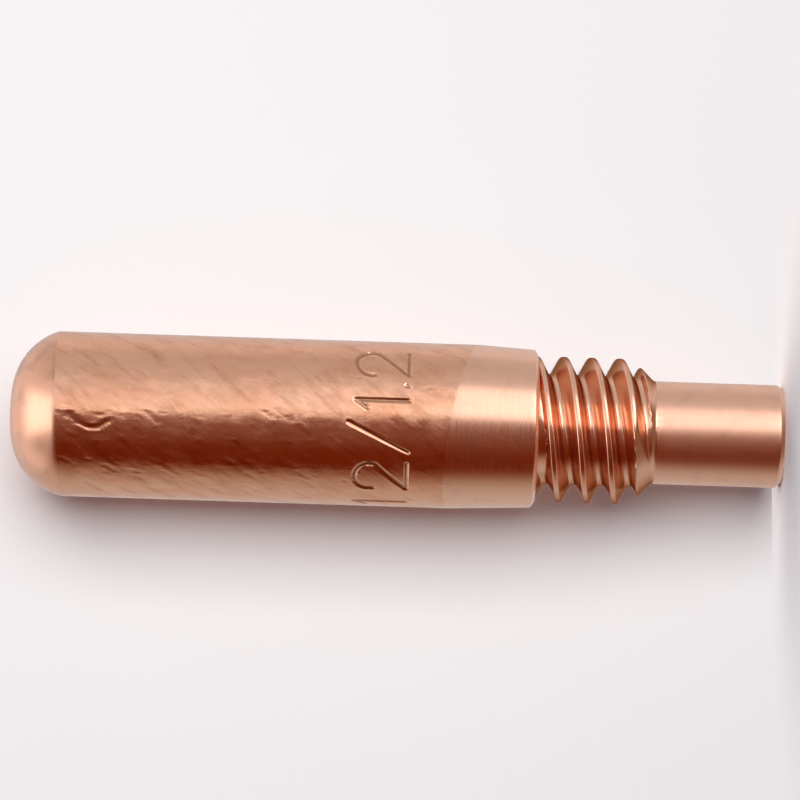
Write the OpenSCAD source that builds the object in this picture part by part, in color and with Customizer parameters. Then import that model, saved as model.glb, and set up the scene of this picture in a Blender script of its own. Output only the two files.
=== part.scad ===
// Contact tip for a wire-feed welding torch, turned from one copper bar.
// It stands on its rear face: the origin is the centre of that face and +Z runs to the nose.

/* [Body] */
// Overall length, from the rear face to the front of the nose
overall_len = 37.4; // [34:0.1:50]
// Diameter of the body
body_d = 8; // [7.6:0.1:10]

/* [Nose] */
// Length of the rounded nose
nose_len = 2.23; // [1.2:0.01:3]
// Diameter of the flat at the front of the nose
nose_flat_d = 1.9; // [1.6:0.1:3]

/* [Land] */
// Length of the turned land that tapers from the body to the shoulder
land_len = 2.8; // [1:0.1:5]
// Diameter of the land where the shoulder starts
land_d = 7.68; // [7.4:0.01:8]
// Slope of the shoulder's bevel, from the axis, in degrees
shoulder_angle = 45; // [30:1:60]

/* [Thread] */
// Diameter over the thread's crests
thread_d = 7.1; // [6.9:0.05:7.3]
// Depth of the thread, from crest to root
thread_depth = 0.85; // [0.5:0.01:0.9]
// Distance from one crest to the next along the axis
thread_pitch = 1.36; // [1.3:0.01:2]
// Number of separate helices
thread_starts = 2; // [1:1:3]
// Width of the flat on a crest
thread_crest = 0.2; // [0.05:0.01:0.3]
// Angle between a groove's two flanks, in degrees
thread_angle = 50; // [44:1:62]
// Length of the threaded part, from the pilot to the shoulder's face
thread_len = 5.6; // [3:0.1:8]
// Angle at which a crest leaves the shoulder's face, in degrees
thread_clock = 168; // [0:1:359]

/* [Pilot] */
// Diameter of the plain pilot behind the thread
pilot_d = 5; // [4.4:0.05:5.1]
// Length of the pilot
pilot_len = 6.2; // [4:0.1:10]
// Chamfer on the pilot's rear edge
pilot_chamfer = 0.25; // [0.1:0.05:0.5]

/* [Wire bore] */
// Diameter of the welding wire
wire_d = 1.2; // [0.6:0.1:1.4]
// Clearance of the bore over the wire's diameter
wire_clearance = 0.16; // [0.05:0.01:0.2]
// Diameter of the wire inlet at the rear face
inlet_d = 3; // [2:0.1:3.6]
// Angle of the inlet's cone, side to side, in degrees
inlet_angle = 60; // [40:5:90]
// Chamfer on the bore's edge at the nose
bore_chamfer = 0.08; // [0.02:0.01:0.12]

/* [Hidden] */

// Facets of a full circle
$fn = 96;
// Turn between two points of the thread's section, and between two of its slices, in degrees
thread_step = 12;
// How far a cut runs past the face that it leaves
overshoot = 1;
// How far the shoulder's face stands out past the crests
shoulder_rim = 0.05;
// How far the thread is rooted in the pilot and in the body
thread_root_in = 0.1;

body_r = body_d / 2;
land_r = land_d / 2;
pilot_r = pilot_d / 2;
crest_r = thread_d / 2;
root_r = crest_r - thread_depth;
shoulder_r = crest_r + shoulder_rim;
bore_r = (wire_d + wire_clearance) / 2;
inlet_r = inlet_d / 2;
nose_flat_r = nose_flat_d / 2;

// Heights above the rear face
thread_z = pilot_len - thread_root_in;
shoulder_z = pilot_len + thread_len;
land_z = shoulder_z + (land_r - shoulder_r) / tan(shoulder_angle);
body_z = land_z + land_len;
nose_z = overall_len - nose_len;

// The nose's round is tangent to the flat and meets the body's edge
nose_r = (pow(body_r - nose_flat_r, 2) + pow(nose_len, 2)) / (2 * nose_len);
inlet_len = (inlet_r - bore_r) / tan(inlet_angle / 2);

// Shares of one helix's turn, in degrees, across the axis
thread_lead = thread_pitch * thread_starts;
flank_w = thread_depth * tan(thread_angle / 2);
crest_turn = 360 * thread_crest / thread_lead;
flank_turn = 360 * flank_w / thread_lead;
root_turn = 360 / thread_starts - crest_turn - 2 * flank_turn;

// Points from one angle and radius to the next, without the last
function stretch(turn_a, turn_b, r_a, r_b) =
    let (steps = ceil((turn_b - turn_a) / thread_step))
        [
            for (i = [0 : steps - 1])
                let (
                    turn = turn_a + (turn_b - turn_a) * i / steps,
                    r = r_a + (r_b - r_a) * i / steps
                )
                    r * [cos(turn), sin(turn)]
        ];

// Outline of one helix across the axis: crest, falling flank, root, rising flank
function lobe(turn) =
    let (
        crest_end = turn + crest_turn,
        root_start = crest_end + flank_turn,
        root_end = root_start + root_turn,
        lobe_end = root_end + flank_turn
    )
        concat(
            stretch(turn, crest_end, crest_r, crest_r),
            stretch(crest_end, root_start, crest_r, root_r),
            stretch(root_start, root_end, root_r, root_r),
            stretch(root_end, lobe_end, root_r, crest_r)
        );

// Half section from the rear face to the foot of the nose, with the pilot's cylinder as the thread's core
module shank_section() {
    polygon([
        [0, 0],
        [pilot_r - pilot_chamfer, 0],
        [pilot_r, pilot_chamfer],
        [pilot_r, shoulder_z],
        [shoulder_r, shoulder_z],
        [land_r, land_z],
        [body_r, body_z],
        [body_r, nose_z],
        [0, nose_z],
    ]);
}

// Half section of the nose, with its true round
module nose_section() {
    translate([0, nose_z])
        square([nose_flat_r, nose_len]);
    intersection() {
        translate([nose_flat_r, nose_z])
            square([body_r - nose_flat_r, nose_len]);
        translate([nose_flat_r, overall_len - nose_r])
            circle(r = nose_r);
    }
}

module turned_blank() {
    rotate_extrude()
        union() {
            shank_section();
            nose_section();
        }
}

// Room for the thread: a cylinder with a 45 degree chamfer that leaves the pilot at its end
module thread_envelope() {
    envelope_r = crest_r + overshoot;
    rotate_extrude()
        polygon([
            [0, thread_z],
            [pilot_r - thread_root_in, thread_z],
            [envelope_r, pilot_len + envelope_r - pilot_r],
            [envelope_r, shoulder_z + overshoot],
            [0, shoulder_z + overshoot],
        ]);
}

// Right-hand thread, with its core, from the pilot to the shoulder's face
module thread() {
    thread_h = shoulder_z + thread_root_in - thread_z;
    turn = 360 * thread_h / thread_lead;
    outline = [
        for (start = [0 : thread_starts - 1])
            each lobe(start * 360 / thread_starts - crest_turn / 2)
    ];
    intersection() {
        translate([0, 0, thread_z])
            rotate([0, 0, thread_clock - 360 * (shoulder_z - thread_z) / thread_lead])
                linear_extrude(
                    height = thread_h,
                    twist = -turn,
                    slices = ceil(turn / thread_step),
                    segments = len(outline)
                )
                    polygon(outline);
        thread_envelope();
    }
}

// Wire bore, with the inlet's cone at the rear and a broken edge at the nose
module wire_passage() {
    translate([0, 0, -overshoot])
        cylinder(h = overall_len + 2 * overshoot, r = bore_r);
    rotate_extrude()
        polygon([
            [0, -overshoot],
            [inlet_r, -overshoot],
            [inlet_r, 0],
            [bore_r, inlet_len],
            [0, inlet_len],
        ]);
    rotate_extrude()
        polygon([
            [0, overall_len - bore_chamfer],
            [bore_r, overall_len - bore_chamfer],
            [bore_r + bore_chamfer, overall_len],
            [bore_r + bore_chamfer, overall_len + overshoot],
            [0, overall_len + overshoot],
        ]);
}

module contact_tip() {
    color("#c9805a")
        difference() {
            union() {
                turned_blank();
                thread();
            }
            wire_passage();
        }
}

contact_tip();
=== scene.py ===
"""Copper contact tip of a wire-feed welding torch, dressed for rendering.

The tip stands on its rear face with its nose along +Z. Lengths are in millimetres until
they go into Blender, which works in metres. Angles round the axis are counted from the
direction of the camera, and grow towards the top edge of the picture.
"""
import math

import bpy
import numpy as np
from mathutils import Matrix, Vector


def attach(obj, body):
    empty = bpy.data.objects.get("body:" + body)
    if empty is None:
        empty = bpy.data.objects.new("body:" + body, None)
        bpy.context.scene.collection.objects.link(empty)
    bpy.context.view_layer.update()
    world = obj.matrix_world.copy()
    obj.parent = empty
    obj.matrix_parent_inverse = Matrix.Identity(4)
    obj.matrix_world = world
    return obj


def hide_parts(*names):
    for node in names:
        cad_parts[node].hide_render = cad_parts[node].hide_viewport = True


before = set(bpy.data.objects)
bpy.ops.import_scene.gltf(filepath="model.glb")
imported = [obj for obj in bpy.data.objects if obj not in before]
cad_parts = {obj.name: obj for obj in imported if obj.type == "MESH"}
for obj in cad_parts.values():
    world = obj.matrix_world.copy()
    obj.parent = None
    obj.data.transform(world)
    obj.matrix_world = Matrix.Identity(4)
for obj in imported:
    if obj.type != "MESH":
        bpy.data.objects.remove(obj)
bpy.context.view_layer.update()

MM = 0.001

# Camera: azimuth of its station, distance from the axis, and where it looks
CAMERA_AZIMUTH = math.radians(25)
CAMERA_DISTANCE = 180
CAMERA_FOOT_Z = 19.7
CAMERA_AIM_Z = 18.58
CAMERA_AIM_UP = 1.19
CAMERA_ROLL = math.radians(1.85)
FOCAL_PIXELS = 3700
IMAGE_PIXELS = 800
SENSOR_WIDTH = 36
# Nearest and farthest distance that the camera sees, in metres
CAMERA_CLIP = (0.005, 10)

# Unit vectors from the axis to the camera, and to the top edge of the picture
TOWARDS = Vector((math.sin(CAMERA_AZIMUTH), -math.cos(CAMERA_AZIMUTH), 0))
UPWARDS = Vector((math.cos(CAMERA_AZIMUTH), math.sin(CAMERA_AZIMUTH), 0))
NOSEWARDS = Vector((0, 0, 1))
CAMERA_ANGLE = math.atan2(TOWARDS.y, TOWARDS.x)

# Sizes of the tip, as in the solid
OVERALL = 37.4
BODY_R = 4.0
NOSE_LEN = 2.23
NOSE_FLAT_R = 0.95
LAND_R = 3.84
SHOULDER_R = 3.58
SHOULDER_Z = 11.93
LAND_Z = 12.1
CREST_R = 3.55
THREAD_DEPTH = 0.85
PITCH = 1.36
STARTS = 2
# Half of the thread's section: distance from the middle of a crest, and depth below it
THREAD_SECTION = (
    (0.0, 0.0),
    (0.07, 0.001),
    (0.095, 0.008),
    (0.115, 0.024),
    (0.13, 0.048),
    (0.185, 0.157),
    (0.24, 0.265),
    (0.295, 0.374),
    (0.35, 0.483),
    (0.405, 0.591),
    (0.46, 0.700),
    (0.50, 0.765),
    (0.54, 0.810),
    (0.58, 0.838),
    (0.62, 0.848),
    (0.68, 0.850),
)
# Height of the foot of the chamfer at the thread's rear end
CHAMFER_FOOT = 6.27
# The groove at the shoulder runs out: how far past its crest the filling rises, its radii and its turn
SHALLOW_RISE = (0.02, 0.30)
SHALLOW_R = 3.44
SHALLOW_START = 2.4
SHALLOW_MIDDLE = math.radians(20)
SHALLOW_TURN = math.radians(120)
# Width over which these two blend into the thread
THREAD_BLEND = 0.04
PILOT_R = 2.5
PILOT_LEN = 6.2
PILOT_CHAMFER = 0.25
BORE_R = 0.68
BORE_CHAMFER = 0.08
INLET_R = 1.5
INLET_ANGLE = math.radians(60)
# Height of a crest on the side of the camera
CREST_Z = 8.64
# Length over which a turned edge is broken, in general, at the shoulder and at the bore
EDGE = 0.05
SHOULDER_EDGE = 0.03
BORE_EDGE = 0.02

# The land's finish ends on a slanted line, because the bar ran a little out of true
FINISH_Z = 15.45
FINISH_SWING = 0.98
FINISH_TURN = math.radians(-40)

# So does the edge of the nose
CREASE_DROP = 0.14
CREASE_SWING = 0.19

NOSE_Z = OVERALL - NOSE_LEN
NOSE_R = ((BODY_R - NOSE_FLAT_R) ** 2 + NOSE_LEN ** 2) / (2 * NOSE_LEN)
LEAD = PITCH * STARTS
ROOT_R = CREST_R - THREAD_DEPTH
INLET_LEN = (INLET_R - BORE_R) / math.tan(INLET_ANGLE / 2)

# Size mark: plain numbers, stamped round the body with their tops towards the nose
MARK_BASE_Z = 18.2
MARK_HEIGHT = 2.5
MARK_HALF_W = 0.125
MARK_DEPTH = 0.07
MARK_BURR = 0.006
# Heights between which the mesh has the mark's close rows
MARK_ZONE = (17.8, 21.5)
# Each sign's middle in degrees round the body, and its width
MARK_SIGNS = (
    ("1", -70, 1.0),
    ("2", -39, 1.6),
    ("/", -9, 1.4),
    ("1", 15.5, 1.0),
    (".", 28, 0.0),
    ("2", 47, 1.6),
)

# Scratches and nicks: points (degrees, height), half width and depth, which is negative for a raised lip
SCRATCHES = (
    (((1, 34.3), (-5, 33.9), (-8.5, 33.4), (-8, 32.9), (-3, 32.4)), 0.15, 0.045),
    (((-9.4, 32.2), (-13, 31.8), (-17, 31.5)), 0.09, -0.012),
    (((-11.5, 34.3), (-14, 34.0)), 0.12, -0.02),
    (((-24, 33.8), (-30, 33.3)), 0.13, -0.02),
    (((3, 29.9), (2.5, 29.75)), 0.07, 0.015),
    (((2, 29.3), (1, 29.25)), 0.05, 0.012),
    (((4, 26.9), (2.5, 26.75)), 0.08, -0.012),
    (((3, 24.5), (2, 24.4)), 0.06, 0.010),
    (((5, 23.9), (3.5, 23.8)), 0.07, -0.010),
    (((-12, 24.1), (-14.5, 23.9)), 0.11, -0.015),
    (((18, 23.3), (14, 23.0), (10, 22.8)), 0.09, 0.008),
    (((16, 22.9), (12, 22.7), (9, 22.6)), 0.08, 0.006),
    (((44, 30.5), (38, 29.9), (36, 29.8)), 0.12, 0.008),
)
# Pits: degrees, height, radius and depth
PITS = (
    (0.5, 32.8, 0.14, 0.03),
    (5, 30.4, 0.07, 0.010),
    (-28, 27.3, 0.10, 0.02),
)
# Metal pushed up beside a stroke: its place and width in half widths, and its height as a share of the depth
LIP_PLACE = 1.25
LIP_WIDTH = 0.35
SCRATCH_LIP = 0.35
PIT_LIP = 0.3
# A distance that no stroke reaches
FAR = 9.0
# Scattered pits: their number, and their ranges in degrees, of radius and of depth
PIT_COUNT = 120
PIT_TURNS = (-180, 180)
PIT_RADII = (0.08, 0.16)
PIT_DEPTHS = (0.004, 0.014)
# Short scuffs on the side that shows, along the streaks: the same, with their lengths and half widths
SCUFF_COUNT = 80
SCUFF_TURNS = (-52, 8)
SCUFF_LENGTHS = (0.15, 0.8)
SCUFF_HALF_W = (0.09, 0.17)
SCUFF_DEPTHS = (-0.012, 0.022)
# Turn of the streaks in radians to a millimetre of height
STREAK_TWIST = 0.2
RANDOM_SEED = 7
# Heights between which the pits lie, and the scuffs' front ends, which stay clear of the size mark
PIT_ZONE = (16.5, NOSE_Z - 0.3)
SCUFF_ZONE = (22.5, NOSE_Z - 0.3)
# Depth at which a mark or scratch is as dirty as it gets
DIRT_DEPTH = 0.05
# Stains on the nose: degrees, height, radius and strength
NOSE_STAINS = (
    (46, 35.7, 0.8, 0.55),
    (30, 35.5, 0.5, 0.35),
    (-24, 35.6, 0.6, 0.8),
    (-50, 36.0, 0.5, 0.3),
)
# Radius on which the stains' angles become widths
STAIN_R = 0.9 * BODY_R

# Angles between which the columns of the mesh are close, and their steps in degrees
CLOSE_COLUMNS = (-95, 73)
CLOSE_STEP = 0.8
WIDE_STEP = 5
# Distances between the rows of the mesh, on the mark and on the rest of the body
MARK_ROW = 0.065
BODY_ROW = 0.16
# Numbers of rows on the land, from its edge to the mark, and on the nose
LAND_ROWS = 14
MARGIN_ROWS = 12
NOSE_ROWS = 26
# Steps along the inlet's cone, the rear face and the pilot
INLET_STEP = 0.4
REAR_STEP = 0.25
PILOT_STEP = 0.3
# Faces that meet at a wider angle keep a sharp edge
SMOOTH_ANGLE = math.radians(32)

# Finishes, as places in the tip's list of materials
DRAWN, TURNED, THREADED, PILOT, NOSE = 0, 1, 2, 3, 4


def column_angles():
    """Angles of the mesh's columns from the camera's direction, in radians."""
    low, high = CLOSE_COLUMNS
    close = np.arange(low, high, CLOSE_STEP)
    wide_count = round((360 - (high - low)) / WIDE_STEP)
    wide = np.linspace(high, low + 360, wide_count, endpoint=False)
    return np.radians(np.concatenate([close, wide]))


ANGLES = column_angles()
# The same angles, all between -pi and pi
SIGNED = (ANGLES + np.pi) % (2 * np.pi) - np.pi


def corner(before, point, after, cut=EDGE, count=4):
    """Points that round the outline's corner at point, over a length of cut on each side."""
    p = np.array(point, float)
    a = p + cut * (np.array(before) - p) / np.linalg.norm(np.array(before) - p)
    b = p + cut * (np.array(after) - p) / np.linalg.norm(np.array(after) - p)
    return [tuple((1 - t) ** 2 * a + 2 * t * (1 - t) * p + t ** 2 * b) for t in np.linspace(0, 1, count)]


def stretch(start, end, step):
    """Points from start to end, without both, about a step apart."""
    start, end = np.array(start, float), np.array(end, float)
    count = max(1, round(np.linalg.norm(end - start) / step))
    return [tuple(start + (end - start) * i / count) for i in range(1, count)]


def segment_distance(u, v, a, b):
    """Distance of each point (u, v) from the segment a to b."""
    du, dv = b[0] - a[0], b[1] - a[1]
    along = ((u - a[0]) * du + (v - a[1]) * dv) / max(du * du + dv * dv, 1e-9)
    along = np.clip(along, 0, 1)
    return np.hypot(u - a[0] - along * du, v - a[1] - along * dv)


def line_distance(u, v, points):
    """Distance of each point (u, v) from a chain of segments."""
    nearest = np.full(np.shape(u), FAR)
    for a, b in zip(points, points[1:]):
        nearest = np.minimum(nearest, segment_distance(u, v, a, b))
    return nearest


def sign_lines(sign):
    """A sign's strokes in a cell one wide and one high, as chains of points."""
    if sign == "1":
        return [[(0.6, 0), (0.6, 1)], [(0.6, 1), (0.2, 0.78)]]
    if sign == "2":
        turns = np.linspace(-0.2, 3.5, 12)
        bow = [(0.5 - 0.48 * math.cos(t), 0.7 + 0.3 * math.sin(t)) for t in turns]
        return [bow + [(0.02, 0), (1, 0)]]
    if sign == "/":
        return [[(0, -0.02), (1, 1.12)]]
    return [[(0, 0.02), (0, 0.03)]]


def groove(distance, half_width, depth, burr):
    """Height of the surface across a stroke, with metal pushed up beside it."""
    inside = np.clip(1 - (distance / half_width) ** 2, 0, 1)
    lip = np.exp(-(((distance - half_width * LIP_PLACE) / (half_width * LIP_WIDTH)) ** 2))
    return burr * lip - depth * inside


def mark_relief(z):
    """Height of the stamped size mark on one ring of the body."""
    nearest = np.full(len(ANGLES), FAR)
    for sign, middle, width in MARK_SIGNS:
        u = (SIGNED - math.radians(middle)) * BODY_R + width / 2
        for line in sign_lines(sign):
            points = [(x * width, y * MARK_HEIGHT) for x, y in line]
            nearest = np.minimum(nearest, line_distance(u, z - MARK_BASE_Z, points))
    return groove(nearest, MARK_HALF_W, MARK_DEPTH, MARK_BURR)


def random_pits(draw):
    """Scattered pits: degrees, height, radius and depth of each."""
    out = []
    for _ in range(PIT_COUNT):
        turn = draw.uniform(*PIT_TURNS)
        height = draw.uniform(*PIT_ZONE)
        out.append((turn, height, draw.uniform(*PIT_RADII), draw.uniform(*PIT_DEPTHS)))
    return out


def random_scuffs(draw):
    """Scattered scuffs: end points, half width and depth of each."""
    out = []
    for _ in range(SCUFF_COUNT):
        turn = draw.uniform(*SCUFF_TURNS)
        height = draw.uniform(*SCUFF_ZONE)
        length = draw.uniform(*SCUFF_LENGTHS)
        end = (turn - math.degrees(STREAK_TWIST) * length, height - length)
        out.append((((turn, height), end), draw.uniform(*SCUFF_HALF_W), draw.uniform(*SCUFF_DEPTHS)))
    return out


DRAW = np.random.default_rng(RANDOM_SEED)
ALL_PITS = list(PITS) + random_pits(DRAW)
ALL_SCRATCHES = list(SCRATCHES) + random_scuffs(DRAW)


def wear_relief(z):
    """Height of the scratches and pits on one ring of the body."""
    out = np.zeros(len(ANGLES))
    u = SIGNED * BODY_R
    for points, half_width, depth in ALL_SCRATCHES:
        chain = [(math.radians(turn) * BODY_R, height) for turn, height in points]
        out += groove(line_distance(u, z, chain), half_width, depth, depth * SCRATCH_LIP)
    for turn, height, radius, depth in ALL_PITS:
        away = np.abs(SIGNED - math.radians(turn))
        away = np.minimum(away, 2 * np.pi - away) * BODY_R
        distance = np.hypot(away, z - height)
        out += groove(distance, radius, depth, depth * PIT_LIP)
    return out


def nose_stain(z):
    """Strength of the stains on one ring of the nose."""
    out = np.zeros(len(ANGLES))
    for turn, height, radius, strength in NOSE_STAINS:
        distance = np.hypot((SIGNED - math.radians(turn)) * STAIN_R, z - height)
        out += strength * np.exp(-((distance / radius) ** 2))
    return out


def thread_radius(z):
    """Radius of the two-start thread at each column, with a chamfered rear end."""
    along = z - CREST_Z - LEAD * ANGLES / (2 * np.pi)
    from_crest = PITCH / 2 - np.abs(along % PITCH - PITCH / 2)
    distances, depths = zip(*THREAD_SECTION)
    radius = CREST_R - np.interp(from_crest, distances, depths)
    blend = THREAD_BLEND
    away = np.clip((SIGNED - SHALLOW_MIDDLE) / SHALLOW_TURN, -1, 1)
    fade = np.cos(away * np.pi / 2) ** 2
    filled = np.interp(along - LEAD, SHALLOW_RISE, (0, 1)) * fade
    shallow = SHALLOW_START + (SHALLOW_R - SHALLOW_START) * filled
    radius = blend * np.logaddexp(radius / blend, shallow / blend)
    chamfer = PILOT_R + blend * np.logaddexp(0, (z - CHAMFER_FOOT) / blend)
    return -blend * np.logaddexp(-radius / blend, -chamfer / blend)


class Skin:
    """Collects the rings of the tip's surface, and joins them into one closed mesh."""

    def __init__(self):
        self.points = []
        self.dirt = []
        self.faces = []
        self.finishes = []
        self.finish = TURNED
        self.first = None
        self.last = None

    def add_points(self, radius, z, depth=0):
        start = len(self.points)
        turn = ANGLES + CAMERA_ANGLE
        block = np.stack([radius * np.cos(turn), radius * np.sin(turn), z], axis=1) * MM
        self.points.extend(map(tuple, block))
        self.dirt.extend(np.clip(depth / DIRT_DEPTH * np.ones(len(turn)), 0, 1))
        return np.arange(start, start + len(turn))

    def add_face(self, *corners):
        kept = [int(c) for n, c in enumerate(corners) if c != corners[n - 1]]
        if len(set(kept)) >= 3:
            self.faces.append(kept)
            self.finishes.append(self.finish)

    def join(self, a, b):
        for i in range(len(a)):
            j = (i + 1) % len(a)
            self.add_face(a[i], a[j], b[j], b[i])

    def ring(self, radius, z, depth=0):
        """One more ring, joined to the one before, with the depth below the plain surface."""
        ones = np.ones(len(ANGLES))
        new = self.add_points(radius * ones, z * ones, depth)
        if self.last is None:
            self.first = new
        else:
            self.join(self.last, new)
        self.last = new

    def rings(self, outline):
        for radius, z in outline:
            self.ring(radius, z)

    def close(self):
        self.join(self.last, self.first)


def thread_rows():
    """Heights of one row after the other along the thread's section, for more than the whole thread."""
    half = [distance for distance, _ in THREAD_SECTION]
    section = [-distance for distance in half[-2:0:-1]] + half
    first = math.floor((PILOT_LEN - CREST_Z - LEAD) / PITCH) - 2
    last = math.ceil((SHOULDER_Z - CREST_Z + LEAD) / PITCH) + 2
    return section, [turn * PITCH + place for turn in range(first, last) for place in section]


def add_thread(skin):
    """The thread, on rows that follow its helices from the pilot to the shoulder."""
    low, high = PILOT_LEN, SHOULDER_Z
    columns = len(ANGLES)
    ones = np.ones(columns)
    bottom = skin.last
    top = skin.add_points(thread_radius(high * ones), high * ones)
    # A row keeps its place on the thread's section, and after a turn it is one lead higher
    section, heights = thread_rows()
    lead_rows = len(section) * STARTS
    rise = CREST_Z + LEAD * ANGLES / (2 * np.pi)
    rows = []
    for height in heights:
        z = np.clip(rise + height, low, high)
        new = skin.add_points(thread_radius(z), z)
        rows.append(np.where(z <= low, bottom, np.where(z >= high, top, new)))
    skin.finish = THREADED
    for k in range(len(rows) - 1):
        a, b = rows[k], rows[k + 1]
        for i in range(columns - 1):
            skin.add_face(a[i], a[i + 1], b[i + 1], b[i])
        next_a = rows[min(k + lead_rows, len(rows) - 1)]
        next_b = rows[min(k + lead_rows + 1, len(rows) - 1)]
        skin.add_face(a[-1], next_a[0], next_b[0], b[-1])
    skin.last = top


def add_land_and_body(skin):
    """The tapered land up to its slanted edge, then the drawn body with its marks."""
    finish_z = FINISH_Z + FINISH_SWING * np.cos(SIGNED - FINISH_TURN)
    skin.finish = TURNED
    for t in np.linspace(0, 1, LAND_ROWS + 1)[1:]:
        skin.ring(LAND_R + (BODY_R - LAND_R) * t, LAND_Z + (finish_z - LAND_Z) * t)
    skin.finish = DRAWN
    mark_low, mark_high = MARK_ZONE
    for t in np.linspace(0, 1, MARGIN_ROWS + 1)[1:]:
        z = finish_z + (mark_low - finish_z) * t
        add_body_ring(skin, z, wear_relief(z))
    for z in np.arange(mark_low + MARK_ROW, mark_high, MARK_ROW):
        add_body_ring(skin, z, mark_relief(z) + wear_relief(z))
    body_end = crease_z() - EDGE
    for t in np.linspace(0, 1, round((NOSE_Z - mark_high) / BODY_ROW)):
        z = mark_high + (body_end - mark_high) * t
        add_body_ring(skin, z, wear_relief(z))


def add_body_ring(skin, z, relief):
    """One ring of the body, dirty where its relief goes down."""
    skin.ring(BODY_R + relief, z, -relief)


def crease_z():
    """Height of the nose's edge at each column."""
    return NOSE_Z - CREASE_DROP + CREASE_SWING * np.sin(ANGLES)


def add_nose(skin):
    """The round of the nose, its flat front and the edge of the bore."""
    middle_z = OVERALL - NOSE_R
    start = np.arcsin((crease_z() - middle_z) / NOSE_R)
    fit = (BODY_R - NOSE_FLAT_R) / (NOSE_R * np.cos(start))
    skin.finish = NOSE
    for t in np.linspace(0, 1, NOSE_ROWS):
        turn = start + (math.pi / 2 - start) * t
        radius = NOSE_FLAT_R + NOSE_R * np.cos(turn) * fit
        z = middle_z + NOSE_R * np.sin(turn)
        skin.ring(radius, z, nose_stain(z) * DIRT_DEPTH)
    skin.rings(corner(
        (NOSE_FLAT_R, OVERALL),
        (BORE_R + BORE_CHAMFER, OVERALL),
        (BORE_R, OVERALL - BORE_CHAMFER),
        cut=BORE_EDGE,
    ))


def tip_skin():
    """The tip's surface, from the bore's front out over the rear, the thread and the body to the nose."""
    skin = Skin()
    rear_bore = (BORE_R, INLET_LEN)
    inlet = (INLET_R, 0)
    rear_rim = (PILOT_R - PILOT_CHAMFER, 0)
    pilot_rim = (PILOT_R, PILOT_CHAMFER)
    pilot_end = (PILOT_R, PILOT_LEN)
    shoulder_in = (ROOT_R, SHOULDER_Z)
    shoulder = (SHOULDER_R, SHOULDER_Z)
    land = (LAND_R, LAND_Z)
    skin.rings([(BORE_R, OVERALL - BORE_CHAMFER), (BORE_R, OVERALL / 2), rear_bore])
    skin.rings(stretch(rear_bore, inlet, INLET_STEP))
    skin.rings(corner(rear_bore, inlet, rear_rim))
    skin.rings(stretch(inlet, rear_rim, REAR_STEP))
    skin.rings(corner(inlet, rear_rim, pilot_rim))
    skin.finish = PILOT
    skin.rings(corner(rear_rim, pilot_rim, pilot_end))
    skin.rings(stretch(pilot_rim, pilot_end, PILOT_STEP))
    skin.ring(*pilot_end)
    add_thread(skin)
    skin.finish = TURNED
    skin.rings(corner(shoulder_in, shoulder, land, cut=SHOULDER_EDGE))
    skin.rings(corner(shoulder, land, (BODY_R, FINISH_Z)))
    add_land_and_body(skin)
    add_nose(skin)
    skin.close()
    return skin


def make_tip(finishes):
    skin = tip_skin()
    mesh = bpy.data.meshes.new("tip")
    used = sorted({c for face in skin.faces for c in face})
    place = {c: n for n, c in enumerate(used)}
    points = [skin.points[c] for c in used]
    faces = [[place[c] for c in face] for face in skin.faces]
    mesh.from_pydata(points, [], faces)
    for finish in finishes:
        mesh.materials.append(finish)
    mesh.polygons.foreach_set("material_index", skin.finishes)
    mesh.polygons.foreach_set("use_smooth", [True] * len(faces))
    mesh.set_sharp_from_angle(angle=SMOOTH_ANGLE)
    dirt = mesh.attributes.new("dirt", "FLOAT", "POINT")
    dirt.data.foreach_set("value", [float(skin.dirt[c]) for c in used])
    mesh.validate()
    mesh.update()
    tip = bpy.data.objects.new("tip", mesh)
    bpy.context.scene.collection.objects.link(tip)
    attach(tip, "root")
    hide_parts("contact_tip")
    return tip


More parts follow.
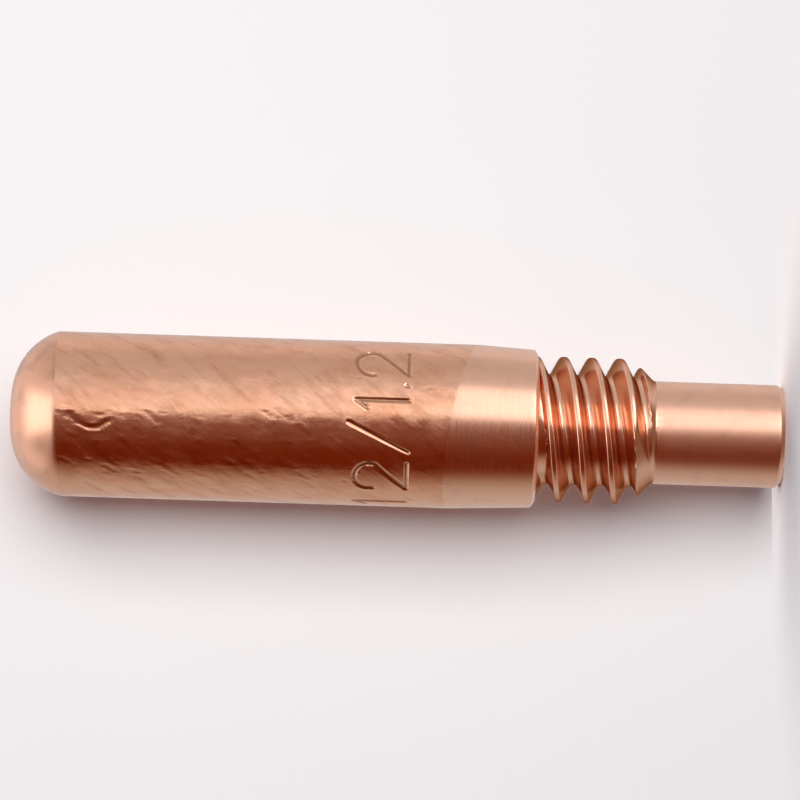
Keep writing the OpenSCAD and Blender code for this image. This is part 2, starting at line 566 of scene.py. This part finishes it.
class Nodes:
    """Short calls for building one node tree."""

    def __init__(self, tree):
        self.tree = tree
        tree.nodes.clear()

    def add(self, kind, **settings):
        node = self.tree.nodes.new(kind)
        for name, value in settings.items():
            setattr(node, name, value)
        return node

    def feed(self, socket, value):
        """Links a socket to another one, or sets its value."""
        if isinstance(value, bpy.types.NodeSocket):
            self.tree.links.new(value, socket)
        else:
            socket.default_value = value

    def math(self, operation, a, b=None, clamp=False):
        node = self.add("ShaderNodeMath", operation=operation, use_clamp=clamp)
        self.feed(node.inputs[0], a)
        if b is not None:
            self.feed(node.inputs[1], b)
        return node.outputs[0]

    def remap(self, value, low, high, new_low=0.0, new_high=1.0, smooth=False):
        node = self.add("ShaderNodeMapRange")
        node.interpolation_type = "SMOOTHSTEP" if smooth else "LINEAR"
        for socket, item in zip(node.inputs[:5], (value, low, high, new_low, new_high)):
            self.feed(socket, item)
        return node.outputs[0]

    def mix(self, factor, a, b):
        node = self.add("ShaderNodeMix", data_type="RGBA")
        self.feed(node.inputs["Factor"], factor)
        self.feed(node.inputs[6], a)
        self.feed(node.inputs[7], b)
        return node.outputs[2]

    def noise(self, vector, scale, detail=2.0, roughness=0.5):
        node = self.add("ShaderNodeTexNoise")
        self.feed(node.inputs["Vector"], vector)
        node.inputs["Scale"].default_value = scale
        node.inputs["Detail"].default_value = detail
        node.inputs["Roughness"].default_value = roughness
        return node.outputs["Fac"]

    def times(self, vector, factors):
        node = self.add("ShaderNodeVectorMath", operation="MULTIPLY")
        self.feed(node.inputs[0], vector)
        node.inputs[1].default_value = factors
        return node.outputs[0]

    def share(self, vector, axis):
        """How far the vector goes along an axis."""
        node = self.add("ShaderNodeVectorMath", operation="DOT_PRODUCT")
        self.feed(node.inputs[0], vector)
        node.inputs[1].default_value = axis
        return node.outputs["Value"]

    def millimetres(self):
        """The point on the object, in millimetres."""
        place = self.add("ShaderNodeTexCoord").outputs["Object"]
        return self.times(place, (1000, 1000, 1000))

    def height(self, vector):
        node = self.add("ShaderNodeSeparateXYZ")
        self.feed(node.inputs[0], vector)
        return node.outputs["Z"]

    def twisted(self, vector, turn):
        """The vector turned about the axis by that many radians to a millimetre of height."""
        node = self.add("ShaderNodeVectorRotate", rotation_type="Z_AXIS")
        self.feed(node.inputs["Vector"], vector)
        self.feed(node.inputs["Angle"], self.math("MULTIPLY", self.height(vector), turn))
        return node.outputs[0]

    def bump(self, height, strength, distance, below=None):
        node = self.add("ShaderNodeBump")
        node.inputs["Strength"].default_value = strength
        node.inputs["Distance"].default_value = distance * MM
        self.feed(node.inputs["Height"], height)
        if below is not None:
            self.feed(node.inputs["Normal"], below)
        return node.outputs[0]


COPPER = (0.94, 0.51, 0.345, 1)
COPPER_DULL = (0.88, 0.43, 0.27, 1)
COPPER_BRIGHT = (0.95, 0.55, 0.395, 1)
COPPER_NOSE = (0.93, 0.49, 0.335, 1)
COPPER_STAINED = (0.66, 0.38, 0.28, 1)
COPPER_SMUDGED = (0.50, 0.20, 0.11, 1)
COPPER_DIRTY = (0.26, 0.10, 0.05, 1)
# Share of the dirty colour at the bottom of a mark
DIRT = 0.55
# Tint of the metal seen at a low angle, in the open and between the threads; between the threads it is
# painted shade, dark so that the thread's grazing reflections stand in for the shadowed paper close behind
EDGE_OPEN = (1, 1, 1, 1)
EDGE_PAINTED_SHADE = (0.34, 0.17, 0.11, 1)
# Turn of the brushed look, as a share of a full one
BRUSH_TURN = 0.25

# Patterns of the drawn skin: turn to a millimetre, squeeze along the axis, then the noise's
# scale, detail and roughness
STREAKS = (STREAK_TWIST, 0.2, 3.4, 3.0, 0.6)
BLOTCHES = (0.0, 0.5, 1.0, 3.0, 0.5)
MOTTLE = (0.06, 0.5, 2.1, 2.5, 0.55)
SMUDGES = (STREAK_TWIST, 0.4, 1.5, 4.0, 0.65)
# Values of each pattern between which its effect grows, and the effect on colour or roughness
BLOTCH_RANGE = (0.35, 0.7)
SMUDGE_RANGE = (0.52, 0.72)
SMUDGE_SHARE = (0.0, 0.48)
MOTTLE_RANGE = (0.36, 0.66)
MOTTLE_ROUGHNESS = (0.11, 0.27)
STREAK_RANGE = (0.3, 0.7)
STREAK_ROUGHNESS = (-0.03, 0.07)
# Relief of the patterns: strength and height
BLOTCH_RELIEF = (0.5, 0.04)
MOTTLE_RELIEF = (0.6, 0.018)
STREAK_RELIEF = (0.35, 0.012)

# Rings left by the tool: squeeze of the noise, its scale, detail and roughness, its range,
# the shares of the roughness that this gives, and the rings' height
RING_SQUEEZE = (0.25, 0.25, 9)
RINGS = (1.6, 4.0, 0.65)
RING_RANGE = (0.25, 0.75)
RING_ROUGHNESS = (0.8, 1.2)
RING_HEIGHT = 0.012
# Stains: scale and detail of the noise, and its values between which a stain grows
STAINS = (0.9, 2.0)
STAIN_RANGE = (0.52, 0.68)


def new_material(name):
    material = bpy.data.materials.new(name)
    material.use_nodes = True
    return material, Nodes(material.node_tree)


def metal(n, colour, roughness, normal, anisotropic=0.0, edge=EDGE_OPEN):
    """A metallic surface, with its reflections drawn out along the axis by the turning marks."""
    shader = n.add("ShaderNodeBsdfPrincipled")
    shader.inputs["Metallic"].default_value = 1.0
    # A dark edge tint is painted shade: it darkens the metal's reflections at low angles
    shader.inputs["Specular Tint"].default_value = edge
    n.feed(shader.inputs["Base Color"], colour)
    n.feed(shader.inputs["Roughness"], roughness)
    n.feed(shader.inputs["Normal"], normal)
    if anisotropic:
        shader.inputs["Anisotropic"].default_value = anisotropic
        shader.inputs["Anisotropic Rotation"].default_value = BRUSH_TURN
        tangent = n.add("ShaderNodeTangent", direction_type="RADIAL", axis="Z")
        n.feed(shader.inputs["Tangent"], tangent.outputs[0])
    out = n.add("ShaderNodeOutputMaterial")
    n.feed(out.inputs["Surface"], shader.outputs[0])


def pattern(n, place, twist, squeeze, scale, detail, roughness):
    """Noise on lines that wind round the axis."""
    wound = n.times(n.twisted(place, -twist), (1, 1, squeeze))
    return n.noise(wound, scale, detail, roughness)


def soiled(n, colour):
    """The colour, with dirt in the marks, scratches and stains."""
    dirt = n.add("ShaderNodeAttribute", attribute_name="dirt").outputs["Fac"]
    return n.mix(n.math("MULTIPLY", dirt, DIRT), colour, COPPER_DIRTY)


def drawn_copper():
    """Bar as drawn: bright, with dull blotches, slanted streaks and an uneven skin."""
    material, n = new_material("drawn_copper")
    place = n.millimetres()
    streaks = pattern(n, place, *STREAKS)
    blotches = pattern(n, place, *BLOTCHES)
    mottle = pattern(n, place, *MOTTLE)
    smudges = pattern(n, place, *SMUDGES)
    colour = n.mix(n.remap(blotches, *BLOTCH_RANGE), COPPER, COPPER_DULL)
    colour = n.mix(n.remap(smudges, *SMUDGE_RANGE, *SMUDGE_SHARE), colour, COPPER_SMUDGED)
    dull = n.remap(mottle, *MOTTLE_RANGE, *MOTTLE_ROUGHNESS)
    rough = n.math("ADD", dull, n.remap(streaks, *STREAK_RANGE, *STREAK_ROUGHNESS))
    waves = n.bump(blotches, *BLOTCH_RELIEF)
    patches = n.bump(mottle, *MOTTLE_RELIEF, waves)
    metal(n, soiled(n, colour), rough, n.bump(streaks, *STREAK_RELIEF, patches))
    return material


def turned_copper(name, roughness, anisotropic, marks, stain=0.2, edge=EDGE_OPEN, clean=COPPER_BRIGHT):
    """Bar as turned: smoother, with fine rings left by the tool and a few stains."""
    material, n = new_material(name)
    place = n.millimetres()
    tool = n.noise(n.times(place, RING_SQUEEZE), *RINGS)
    stains = n.remap(n.noise(place, *STAINS), *STAIN_RANGE, 0.0, stain, smooth=True)
    colour = soiled(n, n.mix(stains, clean, COPPER_STAINED))
    rough = n.remap(tool, *RING_RANGE, *[roughness * share for share in RING_ROUGHNESS])
    metal(n, colour, rough, n.bump(tool, marks, RING_HEIGHT), anisotropic, edge)
    return material


def tip_finishes():
    """The tip's materials, in the order of DRAWN, TURNED, THREADED, PILOT and NOSE."""
    satin = {"anisotropic": 0.4, "marks": 0.10}
    return [
        drawn_copper(),
        turned_copper("turned_copper", roughness=0.27, **satin),
        # The thread's dark edge tint is painted shade on its grazing reflections
        turned_copper("threaded_copper", roughness=0.20, anisotropic=0.0, marks=0.04, edge=EDGE_PAINTED_SHADE),
        turned_copper("pilot_copper", roughness=0.36, **satin),
        turned_copper("nose_copper", roughness=0.27, stain=0.55, clean=COPPER_NOSE, **satin),
    ]


def make_camera():
    """The photo's view: across the axis, with the nose to the left."""
    camera = bpy.data.cameras.new("camera")
    camera.sensor_width = SENSOR_WIDTH
    camera.lens = FOCAL_PIXELS * SENSOR_WIDTH / IMAGE_PIXELS
    camera.clip_start, camera.clip_end = CAMERA_CLIP
    station = TOWARDS * CAMERA_DISTANCE + UPWARDS * CAMERA_AIM_UP + NOSEWARDS * CAMERA_FOOT_Z
    aim = UPWARDS * CAMERA_AIM_UP + NOSEWARDS * CAMERA_AIM_Z
    back = (station - aim).normalized()
    up = UPWARDS * math.cos(CAMERA_ROLL) + NOSEWARDS * math.sin(CAMERA_ROLL)
    right = up.cross(back).normalized()
    up = back.cross(right)
    holder = bpy.data.objects.new("camera", camera)
    turn = Matrix((right, up, back)).transposed().to_4x4()
    holder.matrix_world = Matrix.Translation(station * MM) @ turn
    bpy.context.scene.collection.objects.link(holder)
    bpy.context.scene.camera = holder


# Room round the tip, as its metal shows it: degrees from the camera's direction, and the light from there
ROOM = (
    (-180, (0.62, 0.62, 0.62)),
    (-112, (0.53, 0.53, 0.52)),
    (-90, (0.43, 0.37, 0.32)),
    (-78, (0.29, 0.18, 0.12)),
    (-66, (0.145, 0.020, 0.002)),
    (-40, (0.155, 0.026, 0.004)),
    (-20, (0.20, 0.07, 0.040)),
    (7, (0.28, 0.15, 0.12)),
    (15.8, (0.40, 0.30, 0.26)),
    (19.2, (1.55, 1.55, 1.45)),
    (25, (1.04, 1.04, 1.01)),
    (34, (0.93, 0.93, 0.92)),
    (60, (0.70, 0.70, 0.70)),
    (80, (0.60, 0.60, 0.60)),
    (108, (0.57, 0.57, 0.57)),
    (124, (0.76, 0.76, 0.76)),
    (180, (0.62, 0.62, 0.62)),
)
# The room leans: it turns by this angle between these two heights of the direction
LEAN = math.radians(13)
LEAN_HEIGHTS = (-0.015, 0.06)
LEAN_TURN = (math.radians(-60), math.radians(-10))
# Light from straight above and below, and where it takes over, as the direction's height
ROOM_TOP = (0.85, 0.85, 0.84, 1)
ROOM_BOTTOM = (0.24, 0.14, 0.09, 1)
ROOM_TOP_EDGE = (0.5, 0.63)
ROOM_BOTTOM_EDGE = (0.80, 0.95)
PALE = (0.89, 0.865, 0.87, 1)
# Even light for what isn't metal
AMBIENT = (0.075, 0.08, 0.135, 1)

# Bright panel beside the camera, towards the rear: edges in degrees and as depths
PANEL_TURN = (8, 14, 54, 60)
PANEL_DEPTH = (0.055, 0.1, 0.8, 0.9)
PANEL_LIGHT = (1.95, 2.4)
PANEL_RISE = (0.3, 0.5)

# Strip of window above the nose: its edges to the sides, its edge at the back and its foot, and its light
WINDOW_SIDES = (-0.46, -0.28, 0.24, 0.42)
WINDOW_BACK = (-0.3, 0.15)
WINDOW_FOOT = (0.5, 0.6)
WINDOW_LIGHT = (1.85, 1.85, 1.85, 1)


def between(n, value, edges):
    """One between the inner two edges, and zero outside the outer two."""
    rise = n.remap(value, edges[0], edges[1], smooth=True)
    fall = n.remap(value, edges[2], edges[3], 1.0, 0.0, smooth=True)
    return n.math("MULTIPLY", rise, fall)


def room_turn(n, split):
    """Angle of a direction from the camera's, in radians, with the lean of the room."""
    around = n.math("ARCTAN2", split.outputs["Y"], split.outputs["X"])
    around = n.math("SUBTRACT", around, CAMERA_ANGLE)
    wrap = n.add("ShaderNodeMath", operation="WRAP")
    for socket, value in zip(wrap.inputs, (around, math.pi, -math.pi)):
        n.feed(socket, value)
    turn = wrap.outputs[0]
    lean = n.remap(split.outputs["Z"], *LEAN_HEIGHTS, 0.0, LEAN)
    return n.math("ADD", turn, n.math("MULTIPLY", lean, n.remap(turn, *LEAN_TURN)))


def side_light(n, turn):
    """Light from all round."""
    ramp = n.add("ShaderNodeValToRGB")
    n.feed(ramp.inputs[0], n.remap(turn, -math.pi, math.pi))
    stops = ramp.color_ramp.elements
    while len(stops) < len(ROOM):
        stops.new(0.5)
    for stop, (degrees, light) in zip(stops, ROOM):
        stop.position = (degrees + 180) / 360
        stop.color = (*light, 1)
    return ramp.outputs[0]


def with_panel(n, light, turn, below):
    """The light, with the bright panel in front of it."""
    in_turn = between(n, turn, [math.radians(edge) for edge in PANEL_TURN])
    in_panel = n.math("MULTIPLY", in_turn, between(n, below, PANEL_DEPTH))
    return n.mix(in_panel, light, n.remap(below, *PANEL_RISE, *PANEL_LIGHT))


def with_window(n, light, direction, height):
    """The light, with the strip of window in front of it."""
    in_window = between(n, n.share(direction, UPWARDS), WINDOW_SIDES)
    for value, edge in ((n.share(direction, TOWARDS), WINDOW_BACK), (height, WINDOW_FOOT)):
        in_window = n.math("MULTIPLY", in_window, n.remap(value, *edge, smooth=True))
    return n.mix(in_window, light, WINDOW_LIGHT)


def make_room():
    """The world: the room for the metal, an even light for the paper and a pale ground for the camera."""
    world = bpy.data.worlds.new("room")
    world.use_nodes = True
    bpy.context.scene.world = world
    n = Nodes(world.node_tree)
    direction = n.add("ShaderNodeTexCoord").outputs["Generated"]
    split = n.add("ShaderNodeSeparateXYZ")
    n.feed(split.inputs[0], direction)
    height = split.outputs["Z"]
    below = n.math("MULTIPLY", height, -1.0)
    turn = room_turn(n, split)
    light = n.mix(n.remap(height, *ROOM_TOP_EDGE, smooth=True), side_light(n, turn), ROOM_TOP)
    light = n.mix(n.remap(below, *ROOM_BOTTOM_EDGE, smooth=True), light, ROOM_BOTTOM)
    light = with_panel(n, light, turn, below)
    light = with_window(n, light, direction, height)
    path = n.add("ShaderNodeLightPath")
    light = n.mix(path.outputs["Is Glossy Ray"], AMBIENT, light)
    light = n.mix(path.outputs["Is Camera Ray"], light, PALE)
    background = n.add("ShaderNodeBackground")
    n.feed(background.inputs["Color"], light)
    out = n.add("ShaderNodeOutputWorld")
    n.feed(out.inputs["Surface"], background.outputs[0])


# Wall close behind the tip: its facing, width, foot and top, then the floor, and the paper of both
WALL_FACING = (TOWARDS * 0.94 + UPWARDS * 0.34).normalized()
WALL_WIDTH = 220
WALL_FOOT = -0.5
WALL_TOP = 130
FLOOR_RADIUS = 90
FLOOR_SIDES = 64
PAPER = (0.92, 0.885, 0.855, 1)

# Broad light on the backdrop, in the panel's direction, which the metal doesn't mirror
LIGHT_TURN = math.radians(32)
LIGHT_DISTANCE = 180
LIGHT_Z = 54
LIGHT_WIDTH = 190
LIGHT_LENGTH = 230
LIGHT_POWER = 0.445
# Light above the floor, behind the wall, which lets it through, and to its side
OVERHEAD_Z = 320
OVERHEAD_BACK = 150
OVERHEAD_SIDE = 80
OVERHEAD_SIZE = 260
OVERHEAD_POWER = 1.09


def area_light(name, back, station, width, length, power):
    """A broad light that faces against the vector back, and that the metal doesn't mirror."""
    lamp = bpy.data.lights.new(name, "AREA")
    lamp.shape = "RECTANGLE"
    lamp.size = width * MM
    lamp.size_y = length * MM
    lamp.energy = power
    holder = bpy.data.objects.new(name, lamp)
    turn = back.to_track_quat("Z", "Y").to_matrix().to_4x4()
    holder.matrix_world = Matrix.Translation(station * MM) @ turn
    holder.visible_camera = False
    holder.visible_glossy = False
    bpy.context.scene.collection.objects.link(holder)


def make_lights():
    """One light for the wall, and one for the floor."""
    back = TOWARDS * math.cos(LIGHT_TURN) + UPWARDS * math.sin(LIGHT_TURN)
    station = back * LIGHT_DISTANCE + NOSEWARDS * LIGHT_Z
    area_light("panel", back, station, LIGHT_WIDTH, LIGHT_LENGTH, LIGHT_POWER)
    side = NOSEWARDS.cross(WALL_FACING) * OVERHEAD_SIDE
    above = NOSEWARDS * OVERHEAD_Z - WALL_FACING * OVERHEAD_BACK + side
    area_light("overhead", NOSEWARDS, above, OVERHEAD_SIZE, OVERHEAD_SIZE, OVERHEAD_POWER)


def paper(one_sided):
    """Matt paper, which can be clear from behind."""
    material, n = new_material("paper")
    shader = n.add("ShaderNodeBsdfDiffuse")
    shader.inputs["Color"].default_value = PAPER
    surface = shader.outputs[0]
    if one_sided:
        clear = n.add("ShaderNodeBsdfTransparent")
        behind = n.add("ShaderNodeNewGeometry").outputs["Backfacing"]
        mix = n.add("ShaderNodeMixShader")
        n.feed(mix.inputs[0], behind)
        n.feed(mix.inputs[1], surface)
        n.feed(mix.inputs[2], clear.outputs[0])
        surface = mix.outputs[0]
    out = n.add("ShaderNodeOutputMaterial")
    n.feed(out.inputs["Surface"], surface)
    return material


def stage_sheet(name, points, faces, material):
    """A flat sheet of the stage, which shows to the camera alone."""
    mesh = bpy.data.meshes.new(name)
    mesh.from_pydata([p * MM for p in points], [], faces)
    mesh.materials.append(material)
    sheet = bpy.data.objects.new(name, mesh)
    bpy.context.scene.collection.objects.link(sheet)
    sheet.visible_glossy = False
    sheet.visible_diffuse = False
    sheet.visible_shadow = False


def make_stage():
    """The wall that touches the body, and the round floor that the tip stands on."""
    middle = -WALL_FACING * BODY_R
    half = NOSEWARDS.cross(WALL_FACING) * (WALL_WIDTH / 2)
    foot, top = NOSEWARDS * WALL_FOOT, NOSEWARDS * WALL_TOP
    points = [middle - half + foot, middle + half + foot, middle + half + top, middle - half + top]
    stage_sheet("wall", points, [(0, 1, 2, 3)], paper(True))
    turns = np.linspace(0, 2 * math.pi, FLOOR_SIDES, endpoint=False)
    rim = [Vector((math.cos(t), math.sin(t), 0)) * FLOOR_RADIUS for t in turns]
    stage_sheet("floor", rim, [tuple(range(FLOOR_SIDES))], paper(False))


def main():
    bpy.context.scene.view_settings.view_transform = "Standard"
    make_camera()
    make_tip(tip_finishes())
    make_room()
    make_lights()
    make_stage()


main()
